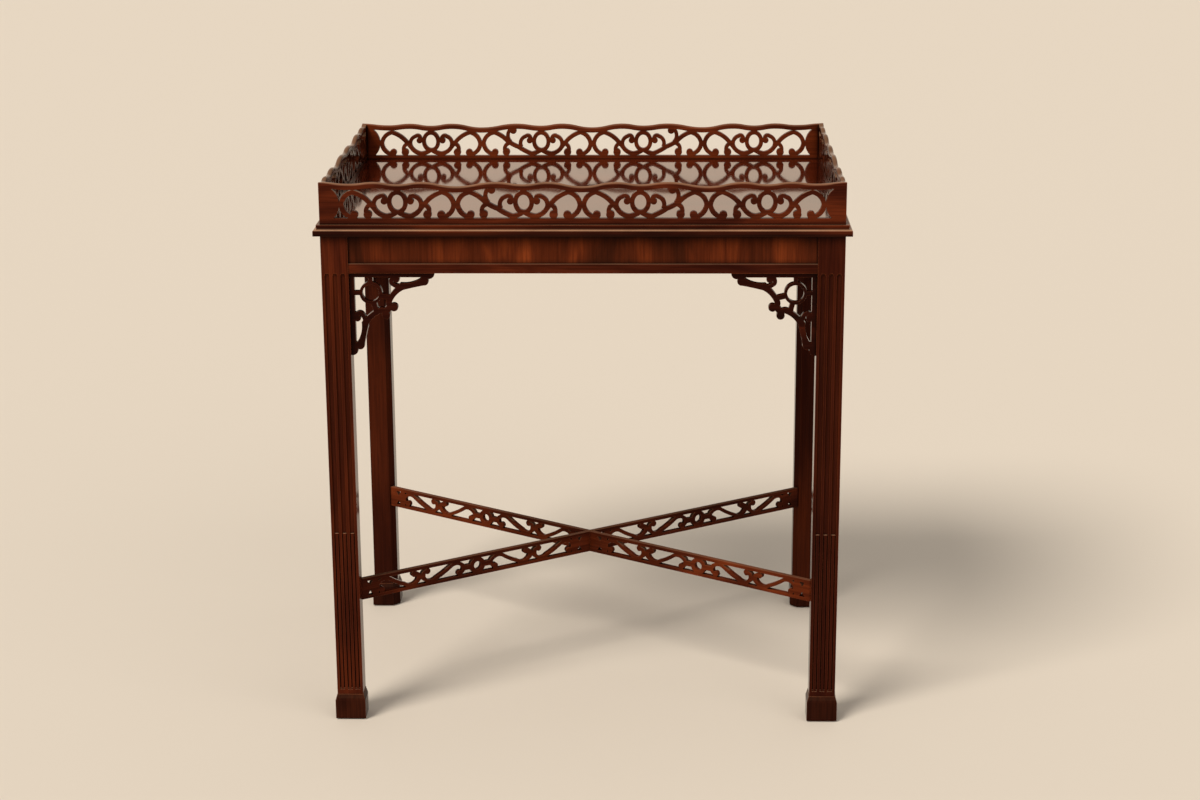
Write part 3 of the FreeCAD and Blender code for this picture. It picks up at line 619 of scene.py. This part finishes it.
def bracket_drawing(reach):
    """The rings of the left bracket, beside a leg at 0 and under an apron at 0."""
    def below(share):
        return Vector((share[0] * reach, -share[1] * reach))

    size = BRACKET
    widths = [size["scroll"]] * len(ARM_SHARES)
    widths[0], widths[2], widths[-1] = size["tip"], size["root"], size["end"]
    centre = below((RING_SHARE, RING_SHARE))
    half = [slab(0, STRIP_SHARE * reach, -size["strip"], 0),
            band([below(share) for share in ARM_SHARES], widths),
            band([below(share) for share in LINK_SHARES], [size["link"]] * len(LINK_SHARES)),
            band([below(share) for share in NECK_SHARES], [size["neck"]] * len(NECK_SHARES)),
            slab(centre.x - size["stub"] / 2, centre.x + size["stub"] / 2, centre.y, 0)]
    half += [disc(below(share), radius) for share, radius in zip(DISC_SHARES, DISC_RADII)]
    shapes = half + [[Vector((-spot.y, -spot.x)) for spot in each] for each in half]
    shapes += [disc(centre, size["hole"] + size["rim"]), disc(below((KNOT_SHARE, KNOT_SHARE)), KNOT)]
    far = 2 * reach
    cuts = [disc(centre, size["hole"]), slab(-far, 0, -far, far), slab(-far, far, 0, far),
            slab(reach, far, -far, far), slab(-far, far, -far, -reach)]
    return joined(shapes, cuts)


def stretcher_drawing(length, height, end):
    """The rings of a whole diagonal, centred on 0 and run on to its ends, with its foot at 0."""
    size = STRETCHER
    inner, outer = size["centre"], length - size["margin"]
    quarter = QUARTER_SHARE * (outer - inner) / 2
    widths = [size["end"]] + [size["scroll"]] * (len(HOOK_SHARES) - 2) + [size["end"]]
    widths[-2] = size["stem"]
    middle, link = STRETCHER_RING_SHARE * height, LINK_SHARE * quarter
    pieces = [band([placed(share, quarter, height) for share in HOOK_SHARES], widths),
              slab(0, link, middle - size["link"] / 2, middle + size["link"] / 2)]
    pieces += [disc(placed(share, quarter, height), size["volute"]) for share in HOOK_VOLUTE_SHARES]
    pieces += [moved(each, 2 * quarter, -1) for each in pieces]
    pieces += [moved(each, 0, -1) for each in pieces]
    pieces.append(disc(Vector((0, middle)), size["hole"] + size["rim"]))
    shapes = [slab(-end, end, 0, size["strip"]), slab(-end, end, height - size["strip"], height),
              slab(-inner - size["block"], inner + size["block"], 0, height),
              slab(outer - size["block"], end, 0, height), slab(-end, size["block"] - outer, 0, height)]
    cuts = [slab(-end, end, -height, 0), slab(-end, end, height, 2 * height)]
    notch, strip = size["notch"], size["strip"]
    for flip in (1, -1):
        place = flip * (inner + outer) / 2
        shapes += [moved(each, place) for each in pieces]
        cuts.append(disc(Vector((place, middle)), size["hole"]))
        for spot in (inner - notch, outer + notch):
            for low, tip in ((strip, strip + size["notch_depth"]),
                             (height - strip, height - strip - size["notch_depth"])):
                corners = [(spot - notch / 2, low), (spot, tip), (spot + notch / 2, low)]
                cuts.append([Vector((x * flip, y)) for x, y in corners])
    return joined(shapes, cuts)


def inset(ring, distances):
    """A ring moved into the wood, which lies on its left, by a distance at each of its points."""
    moved_ring = []
    for index, (spot, distance) in enumerate(zip(ring, distances)):
        into = (spot - ring[index - 1]).normalized()
        out = (ring[(index + 1) % len(ring)] - spot).normalized()
        left = Vector((-into.y - out.y, into.x + out.x)) / max(1 + into.dot(out), MITRE_LIMIT)
        moved_ring.append(spot + left * distance)
    return moved_ring


def eased(ring, distances):
    """The distances, made less wherever the moved ring would fold over itself."""
    distances = list(distances)
    for attempt in range(EASING_PASSES):
        moved_ring = inset(ring, distances)
        folded = False
        for index in range(len(ring)):
            if (ring[index] - ring[index - 1]).dot(moved_ring[index] - moved_ring[index - 1]) <= 0:
                distances[index] *= EASING
                distances[index - 1] *= EASING
                folded = True
        if not folded:
            break
    return distances


def fret_mesh(rings, thickness, round_of=None):
    """A pierced sheet with rounded edges, drawn flat: X along it, Y up, its outer face at Z = 0."""
    work = bmesh.new()
    upper_rim, lower_rim, loops = [], [], []
    for ring in rings:
        rounds = eased(ring, [round_of(spot) if round_of else CREASE for spot in ring])
        rows = []
        for step in range(2 * EDGE_STEPS):
            upper = step < EDGE_STEPS
            turn = math.pi / 2 * (step if upper else 2 * EDGE_STEPS - 1 - step) / (EDGE_STEPS - 1)
            row = []
            for spot, depth in zip(inset(ring, [(1 - math.sin(turn)) * each for each in rounds]), rounds):
                z = -(1 - math.cos(turn)) * depth
                row.append(work.verts.new((spot.x, spot.y, z if upper else -thickness - z)))
            rows.append(row)
        for upper, lower in zip(rows, rows[1:]):
            for index in range(len(ring)):
                work.faces.new((upper[index - 1], lower[index - 1], lower[index], upper[index]))
        loops.append([len(upper_rim) + index for index in range(len(ring))])
        upper_rim += rows[0]
        lower_rim += rows[-1]
    holes = {index for index, ring in enumerate(rings) if ring_area(ring) < 0}
    loops = [loop[::-1] if index in holes else loop for index, loop in enumerate(loops)]
    made = geometry.delaunay_2d_cdt([vertex.co.xy for vertex in upper_rim], [], loops, 1, CAP_GAP)
    for triangle, owners in zip(made[2], made[5]):
        sources = [made[3][index] for index in triangle]
        if not holes.intersection(owners) and all(sources):
            work.faces.new([upper_rim[source[0]] for source in sources])
            work.faces.new([lower_rim[source[0]] for source in reversed(sources)])
    return work


def bar_into(work, low, high):
    """Adds a plain bar, for a tongue or tenon, between two corners."""
    bar = bmesh.ops.create_cube(work, size=1.0)["verts"]
    low, high = Vector(low), Vector(high)
    for vertex in bar:
        vertex.co = (low + high) / 2 + vertex.co * (high - low)


def cut_end(work, place, facing):
    """Cuts a closed mesh off at a plane, drops what lies beyond it and closes the end."""
    whole = work.verts[:] + work.edges[:] + work.faces[:]
    cut = bmesh.ops.bisect_plane(work, geom=whole, plane_co=place, plane_no=facing, clear_outer=True)
    rim = [item for item in cut["geom_cut"] if isinstance(item, bmesh.types.BMEdge)]
    bmesh.ops.triangle_fill(work, edges=rim, use_beauty=True)
    bmesh.ops.recalc_face_normals(work, faces=work.faces)


def stood_up(name, work, normal, level):
    """The drawn sheet, stood up as a piece whose outer face has that normal and level."""
    along = UP.cross(normal)
    for vertex in work.verts:
        x, up, out = vertex.co
        vertex.co = along * x + normal * (level + out) + UP * up
    mesh = bpy.data.meshes.new(name)
    work.to_mesh(mesh)
    work.free()
    return mesh


def smooth_piece(name, mesh, material, *nodes):
    """A piece with smooth shading between its sharp edges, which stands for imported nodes."""
    for face in mesh.polygons:
        face.use_smooth = True
    mesh.set_sharp_from_angle(angle=SMOOTH_TURN)
    mesh.materials.append(material)
    piece = bpy.data.objects.new(name, mesh)
    bpy.context.collection.objects.link(piece)
    even = piece.modifiers.new("even normals", "WEIGHTED_NORMAL")
    even.keep_sharp = True
    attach(piece, "root")
    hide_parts(*nodes)
    return piece


def spread(node, normal):
    """How far a node reaches along a board, up and outwards, as lowest and highest places."""
    along = UP.cross(normal)
    spots = [(co.dot(along), co.z, co.dot(normal)) for co in (v.co for v in NODES[node].data.vertices)]
    return [min(each) for each in zip(*spots)], [max(each) for each in zip(*spots)]


def level_and_foot(node, normal):
    """How far out a node's outer face lies, and that face's lowest place."""
    spots = [vertex.co for vertex in NODES[node].data.vertices]
    level = max(spot.dot(normal) for spot in spots)
    return level, min(spot.z for spot in spots if level - spot.dot(normal) < SAME_LEVEL)


def gallery(side, normal, material):
    """A gallery board with a rounded wavy top, mitred ends and its tongue."""
    node = "gallery_" + side
    level, foot = level_and_foot(node, normal)
    low, high = spread(node, normal)
    thickness = level - low[2]
    shares = CELL_SHARES["front" if side in ("front", "back") else "side"]
    rise = Vector((0, foot + GALLERY["foot"] * MM))
    rings = [[spot + rise for spot in ring] for ring in gallery_drawing(2 * high[0] / MM, shares)]
    wavy = rise.y + (GALLERY["high"] + VALLEY_RISE / 2) * MM
    outer = {tuple(spot) for spot in max(rings, key=ring_area)}

    def round_of(spot):
        if spot.y < wavy or tuple(spot) not in outer:
            return CREASE
        near = min(1.0, (high[0] - abs(spot.x)) / TOP_TAPER)
        return CREASE + (TOP_ROUND - CREASE) * near

    work = fret_mesh(rings, thickness, round_of)
    for sign in (1, -1):
        cut_end(work, Vector((sign * high[0], 0, 0)), Vector((sign, 0, -1)))
    tongue = [vertex.co.dot(normal) for vertex in NODES[node].data.vertices
              if vertex.co.z < foot - CREASE]
    reach = high[0] - 2 * thickness
    bar_into(work, (-reach, low[1], min(tongue) - level), (reach, foot + OVERLAP, max(tongue) - level))
    smooth_piece("fret_" + node, stood_up(node, work, normal, level), material, node)


def brackets(side, normal, material):
    """The two pierced brackets of one side."""
    node = "corner_brackets_" + side
    level, foot = level_and_foot(node, normal)
    low, high = spread(node, normal)
    drawn = bracket_drawing((high[1] - low[1]) / MM)
    rings = []
    for flip in (1, -1):
        for ring in drawn:
            placed_ring = moved(ring, -flip * high[0], flip, high[1])
            rings.append(placed_ring if flip > 0 else placed_ring[::-1])
    work = fret_mesh(rings, level - low[2])
    smooth_piece("fret_" + node, stood_up(node, work, normal, level), material, node)


def facing_of(node):
    """The horizontal direction that most of a node's surface faces, on its front side."""
    areas = {}
    for face in NODES[node].data.polygons:
        if face.normal.y < 0 and abs(face.normal.z) < UPRIGHT:
            key = tuple(round(value, 4) for value in face.normal)
            areas[key] = areas.get(key, 0.0) + face.area
    return Vector(max(areas, key=areas.get)).normalized()


def stretcher(node, other, material):
    """One diagonal with smooth frets, tenons at its ends and half of the lap at its middle."""
    normal = facing_of(node)
    along = UP.cross(normal)
    rings, level = rings_of(node, normal, along)
    outer = max(rings, key=ring_area)
    foot, top = min(spot.y for spot in outer), max(spot.y for spot in outer)
    ends = [vertex.co.dot(along) for vertex in NODES[node].data.vertices if vertex.co.z > top - CREASE]
    reach = (max(ends) - min(ends)) / 2
    end = reach + OVERLAP
    drawn = stretcher_drawing(reach / MM, (top - foot) / MM, end / MM)
    work = fret_mesh([[spot + Vector((0, foot)) for spot in ring] for ring in drawn], 2 * level)
    tenon = [spot for spot in outer if spot.x > reach + OVERLAP]
    for sign in (1, -1):
        span = sorted((sign * reach, sign * max(spot.x for spot in tenon)))
        bar_into(work, (span[0], min(spot.y for spot in tenon), -2 * level),
                 (span[1], max(spot.y for spot in tenon), 0.0))
    mesh = stood_up(node, work, normal, level)
    lap_top = any(abs(spot.x) < 2 * level and spot.y > top - CREASE for spot in outer)
    middle = (foot + top) / 2
    crossing = facing_of(other)
    bar = bmesh.new()
    low, high = (middle, top + OVERLAP) if lap_top else (foot - OVERLAP, middle)
    bar_into(bar, (-4 * level, low, -level), (4 * level, high, level))
    cut = cut_away(mesh, stood_up("lap", bar, crossing, 0.0))
    smooth_piece("fret_" + node, cut, material, node)


def cut_away(mesh, tool_mesh):
    """The mesh, less the space that another closed mesh fills."""
    cutter = bpy.data.objects.new("cutter", tool_mesh)
    holder = bpy.data.objects.new("holder", mesh)
    for item in (cutter, holder):
        bpy.context.collection.objects.link(item)
    cut = holder.modifiers.new("cut", "BOOLEAN")
    cut.object = cutter
    cut.solver = "EXACT"
    bpy.context.view_layer.update()
    done = holder.evaluated_get(bpy.context.evaluated_depsgraph_get())
    result = bpy.data.meshes.new_from_object(done)
    bpy.data.objects.remove(holder)
    bpy.data.objects.remove(cutter)
    return result


def leg(corner, material):
    """A leg with deeper lines beside the cables that fill the lower part of its flutes."""
    node = NODES["leg_" + corner]
    low, high = [Vector([each(spot) for spot in zip(*(vertex.co for vertex in node.data.vertices))])
                 for each in (min, max)]
    centre = (low + high) / 2
    work = bmesh.new()
    outward = (1 if "right" in corner else -1, 1 if "back" in corner else -1)
    for out in (Vector((outward[0], 0, 0)), Vector((0, outward[1], 0))):
        along = UP.cross(out)
        face = max(vertex.co.dot(out) for vertex in node.data.vertices)
        for index in (-1, 0, 1):
            for flip in (-1, 1):
                spots = []
                for height in LINE_ENDS:
                    for offset, depth in LINE_SECTION:
                        spot = along * (centre.dot(along) + index * FLUTE_SPACING + flip * offset)
                        spots.append(work.verts.new(spot + out * (face - depth) + UP * height))
                count = len(LINE_SECTION)
                for first in range(count):
                    second = (first + 1) % count
                    work.faces.new((spots[first], spots[second],
                                    spots[second + count], spots[first + count]))
                work.faces.new(spots[:count])
                work.faces.new(spots[count:])
    bmesh.ops.recalc_face_normals(work, faces=work.faces)
    lines = bpy.data.meshes.new("lines")
    work.to_mesh(lines)
    work.free()
    mesh = cut_away(node.data.copy(), lines)
    mesh.materials.clear()
    mesh.materials.append(material)
    piece = bpy.data.objects.new("carved_leg_" + corner, mesh)
    bpy.context.collection.objects.link(piece)
    soften(piece, LEG_EDGE)
    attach(piece, "root")
    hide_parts("leg_" + corner)


def moulding(node, normal, material, mitred):
    """A length of moulding with a smooth section, read from its end."""
    along = UP.cross(normal)
    end = (along - normal).normalized() if mitred else along
    rings, level = rings_of(node, end, normal)
    ring = rings[0] if ring_area(rings[0]) > 0 else rings[0][::-1]
    section = smooth_ring(ring)
    far = spread(node, normal)[1]
    count = len(section)
    corners = []
    for sign in (-1, 1):
        for spot in section:
            reach = far[0] + (spot.x - far[2] if mitred else 0.0)
            corners.append(along * (sign * reach) + normal * spot.x + UP * spot.y)
    faces = [(index, (index + 1) % count, count + (index + 1) % count, count + index)
             for index in range(count)]
    faces += [tuple(range(count)), tuple(range(count, 2 * count))]
    work = bmesh.new()
    spots = [work.verts.new(corner) for corner in corners]
    for face in faces:
        work.faces.new([spots[index] for index in face])
    bmesh.ops.recalc_face_normals(work, faces=work.faces)
    mesh = bpy.data.meshes.new(node)
    work.to_mesh(mesh)
    work.free()
    return smooth_piece("smooth_" + node, mesh, material, node)


# Finishes
X, Z = (1, 0, 0), (0, 0, 1)
MAHOGANY = (WOOD_DARK, WOOD_MID, WOOD_LIGHT)
# Darker copies as painted shade, for the brackets and for the side rails.
SHADED = (PORE_AND_SHADE_DARK, WOOD_DARK, WOOD_MID)
DIM = (SHADE_DARK, SHADE_MID, WOOD_MID)
FOOT = (SHADE_DARK, SHADE_MID, SHADE_LIGHT)
# Lighter copies as painted light, for the stretcher that faces the key lamp and for the back rail.
LIT_WARM = (WOOD_DARK, LIT_WARM_MID, LIT_WARM_LIGHT)
BRIGHT = (WOOD_MID, WOOD_LIGHT, LIT_WARM_LIGHT)
VENEER = (VENEER_DARK, VENEER_MID, VENEER_LIGHT)
TOP = (TOP_DARK, TOP_MID, TOP_LIGHT)
INNER = (INNER_DARK, INNER_MID, INNER_LIGHT)

# Painted shades and painted highlights, each from one height to another. Painted shade falls under
# the moulding's lip, under the moulding and over the whole back legs; the apron is also darker just
# above the band and the legs darker towards the bottom. The highlights light faces that look up.
STEP_SHADE = (0.677, 0.6705, 0.85, PORE_AND_SHADE_DARK)
APRON_SHADES = ((0.659, 0.6685, 0.85, PORE_AND_SHADE_DARK), (0.639, 0.633, 0.45, PORE_AND_SHADE_DARK))
LEG_SHADES = ((0.7, 0.0, 0.45, WOOD_DARK), (0.662, 0.669, 0.7, PORE_AND_SHADE_DARK))
EVEN_SHADE = (1.0, 0.9, 0.35, PORE_AND_SHADE_DARK)
CREST = (0.724, 0.8)
EDGE_HIGHLIGHTS = ((0.6768, 0.679, 0.95), (0.683, 0.686, 0.25))
BAND_HIGHLIGHT = (0.6, 0.634, 0.24)
LEG_HIGHLIGHTS = ((0.2635, 0.267, 1.0), (0.042, 0.047, 0.8))
FOOT_HIGHLIGHT = (0.031, 0.037, 0.3)
STRETCHER_HIGHLIGHT = (0.18, 0.2, 0.2)

# A rail's colours, the painted highlight on its crest and its painted shade in corners. The side
# rails take darker tones as painted shade, and the back rail lighter ones as painted light.
RAIL_LOOKS = {"front": (MAHOGANY, 0.5, 0.7), "right": (DIM, 0.4, 0.7),
              "back": (BRIGHT, 0.28, 0.45), "left": (DIM, 0.4, 0.7)}
SIDES = {"front": (0, -1, 0), "right": (1, 0, 0), "back": (0, 1, 0), "left": (-1, 0, 0)}
STRETCHERS = ("stretcher_front_left_to_back_right", "stretcher_front_right_to_back_left")

# Each piece takes its grain from another part of the noise
SIDE_SHIFT, LEG_SHIFT, STRETCHER_SHIFT = 3.7, 2.3, 2.9
BRACKET_SHIFT, VENEER_SHIFT, FOOT_SHIFT = 1.3, 4.4, 1.1
shift = 0.0
for side, normal in SIDES.items():
    normal = Vector(normal)
    along = UP.cross(normal)
    shift += SIDE_SHIFT
    tones, highlight, corner_shade = RAIL_LOOKS[side]
    # Each rail has a painted highlight along its crest.
    gallery(side, normal, wood("mahogany_rail_" + side, along, tones, shift,
                               shade_in_corners=corner_shade, highlights=[(*CREST, highlight)]))
    moulding("edge_moulding_" + side, normal,
             wood("mahogany_edge_" + side, along, MAHOGANY, shift, shades=[STEP_SHADE], highlights=EDGE_HIGHLIGHTS),
             mitred=True)
    moulding("apron_band_" + side, normal,
             wood("mahogany_band_" + side, along, MAHOGANY, shift, highlights=[BAND_HIGHLIGHT]), mitred=False)
    dress("apron_" + side, wood("cross_veneer_" + side, Z, VENEER, shift + VENEER_SHIFT, figure=23.0,
                                streak=0.7, gloss=0.2, coat=0.03, shade_in_corners=0.95, shades=APRON_SHADES))
    # The brackets take darker tones: painted shade under the aprons.
    brackets(side, normal, wood("mahogany_bracket_" + side, along, SHADED, shift + BRACKET_SHIFT))
for corner in ("front_left", "front_right", "back_left", "back_right"):
    shift += LEG_SHIFT
    # The back legs take painted shade all over.
    shades = (*LEG_SHADES, EVEN_SHADE) if "back" in corner else LEG_SHADES
    leg(corner, wood("mahogany_leg_" + corner, Z, MAHOGANY, shift, figure=9.0, shade_in_corners=0.8,
                     shades=shades, highlights=LEG_HIGHLIGHTS))
    dress("foot_block_" + corner,
          wood("mahogany_foot_" + corner, Z, FOOT, shift + FOOT_SHIFT, highlights=[FOOT_HIGHLIGHT]), bevel=0.8 * MM)
# The diagonal that faces the key lamp takes lighter tones: painted light.
for name, other, tones in ((*STRETCHERS, MAHOGANY), (*STRETCHERS[::-1], LIT_WARM)):
    shift += STRETCHER_SHIFT
    stretcher(name, other, wood("mahogany_" + name, UP.cross(facing_of(name)), tones, shift,
                                figure=16.0, highlights=[STRETCHER_HIGHLIGHT]))
polish = wood("veneered_top", X, TOP, shift=1.0, figure=6.0, bump=0.0015, gloss=0.05, blur=0.05,
              specular=1.0, coat=0.45, coat_gloss=0.05, wear=0.2, shade_in_corners=0.3)
polish.node_tree.nodes["Principled BSDF"].inputs["Coat Tint"].default_value = linear(VARNISH)
dress("top_panel", polish)
dress("glue_blocks", wood("inner_wood", X, INNER, shift=5.0, figure=9.0, gloss=0.6, coat=0.0),
      bevel=0.5 * MM)
glide = Graph("glide_metal")
glide.shader.inputs["Metallic"].default_value = 1.0
scratches = glide.noise(glide.add("TexCoord").outputs["Object"], 900.0)
steel = glide.ramp(scratches, ((0.3, linear(STEEL_DARK)), (0.7, linear(STEEL))))
glide.set(glide.shader.inputs["Base Color"], steel)
rough = glide.math("ADD", glide.math("MULTIPLY", scratches, 0.3), 0.2)
glide.set(glide.shader.inputs["Roughness"], rough)
dress("foot_glides", glide.material, bevel=0.3 * MM)

# Stage
FLOOR_REACH, FLOOR_DROP = 14.0, 0.2 * MM
SKY, SKY_STRENGTH = (1.0, 0.97, 0.93), 0.38
LAMPS = {"key": {"azimuth": -43.0, "elevation": 48.0, "breadth": 24.0, "energy": 2.4,
                 "colour": (1.0, 0.95, 0.88)},
         "fill": {"azimuth": 42.0, "elevation": 34.0, "breadth": 50.0, "energy": 0.45,
                  "colour": (1.0, 0.97, 0.93)}}

ground = Graph("pale_floor")
ground.shader.inputs["Base Color"].default_value = linear(FLOOR)
ground.shader.inputs["Roughness"].default_value = 0.9
mesh = bpy.data.meshes.new("floor")
corners = [(x * FLOOR_REACH, y * FLOOR_REACH, -FLOOR_DROP) for x, y in ((-1, -1), (1, -1), (1, 1), (-1, 1))]
mesh.from_pydata(corners, [], [(0, 1, 2, 3)])
mesh.materials.append(ground.material)
floor = bpy.data.objects.new("floor", mesh)
bpy.context.collection.objects.link(floor)

# The sky lights the table, while the camera and reflections see the pale backdrop
world = bpy.data.worlds.new("studio")
world.use_nodes = True
bpy.context.scene.world = world
nodes, links = world.node_tree.nodes, world.node_tree.links
paths = nodes.new("ShaderNodeLightPath").outputs
seen = paths["Is Camera Ray"]
for kind in ("Is Glossy Ray", "Is Transmission Ray"):
    either = nodes.new("ShaderNodeMath")
    either.operation = "MAXIMUM"
    links.new(seen, either.inputs[0])
    links.new(paths[kind], either.inputs[1])
    seen = either.outputs[0]
sky = nodes["Background"]
sky.inputs["Color"].default_value = (*SKY, 1.0)
sky.inputs["Strength"].default_value = SKY_STRENGTH
backdrop = nodes.new("ShaderNodeBackground")
backdrop.inputs["Color"].default_value = linear(BACKDROP)
mixed = nodes.new("ShaderNodeMixShader")
links.new(seen, mixed.inputs[0])
links.new(sky.outputs[0], mixed.inputs[1])
links.new(backdrop.outputs[0], mixed.inputs[2])
links.new(mixed.outputs[0], nodes["World Output"].inputs["Surface"])

# Soft distant lamps. Azimuth 0 shines from the front and 90 from the right.
for name, lamp in LAMPS.items():
    light = bpy.data.lights.new(name, "SUN")
    light.angle = math.radians(lamp["breadth"])
    light.energy = lamp["energy"]
    light.color = lamp["colour"]
    turn, rise = math.radians(lamp["azimuth"]), math.radians(lamp["elevation"])
    source = Vector((math.sin(turn) * math.cos(rise), -math.cos(turn) * math.cos(rise), math.sin(rise)))
    holder = bpy.data.objects.new(name, light)
    holder.rotation_euler = source.to_track_quat("Z", "Y").to_euler()
    bpy.context.collection.objects.link(holder)

# Camera
forward = Vector((math.sin(CAMERA_YAW), math.cos(CAMERA_YAW), 0))
right = Vector((math.cos(CAMERA_YAW), -math.sin(CAMERA_YAW), 0))
aim = forward * math.cos(CAMERA_PITCH) - UP * math.sin(CAMERA_PITCH)
above = forward * math.sin(CAMERA_PITCH) + UP * math.cos(CAMERA_PITCH)
side_axis = right * math.cos(CAMERA_ROLL) + above * math.sin(CAMERA_ROLL)
up_axis = above * math.cos(CAMERA_ROLL) - right * math.sin(CAMERA_ROLL)
lens = bpy.data.cameras.new("camera")
lens.lens = LENS
lens.sensor_width = SENSOR
camera = bpy.data.objects.new("camera", lens)
turned = Matrix((side_axis, up_axis, -aim)).transposed().to_4x4()
camera.matrix_world = Matrix.Translation(CAMERA_PLACE) @ turned
bpy.context.collection.objects.link(camera)
bpy.context.scene.camera = camera
bpy.context.scene.view_settings.view_transform = "Standard"
